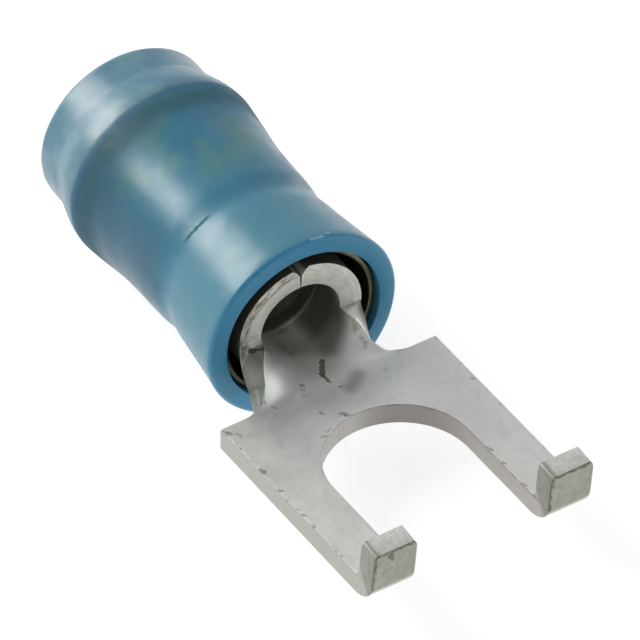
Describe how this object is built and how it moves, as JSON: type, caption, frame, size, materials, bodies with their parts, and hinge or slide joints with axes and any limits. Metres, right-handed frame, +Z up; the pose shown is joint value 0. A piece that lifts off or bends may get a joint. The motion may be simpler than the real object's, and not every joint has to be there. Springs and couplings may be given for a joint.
{
  "type": "fork terminal",
  "caption": "Insulated crimp fork terminal: slotted flat tongue with upturned flanges, rolled wire barrel, inner sleeve and flared translucent housing.",
  "frame": {"origin": "on the underside of the tongue, at the middle of the web between the shoulders and the slot's root", "axes": "+X from the wire barrel to the tips of the fork, +Y across the tines, +Z up out of the tongue's screw face; the flanges point to +Z"},
  "size_m": [0.0193, 0.0072, 0.0062],
  "materials": {
    "tinned_copper": "matte tin plate",
    "sleeve_brass": "thin drawn brass, dulled",
    "blue_nylon": "translucent moulded nylon, satin"
  },
  "bodies": {
    "root": {"terminal_body": "tinned_copper", "support_sleeve": "sleeve_brass", "insulator": "blue_nylon"}
  },
  "joints": []
}
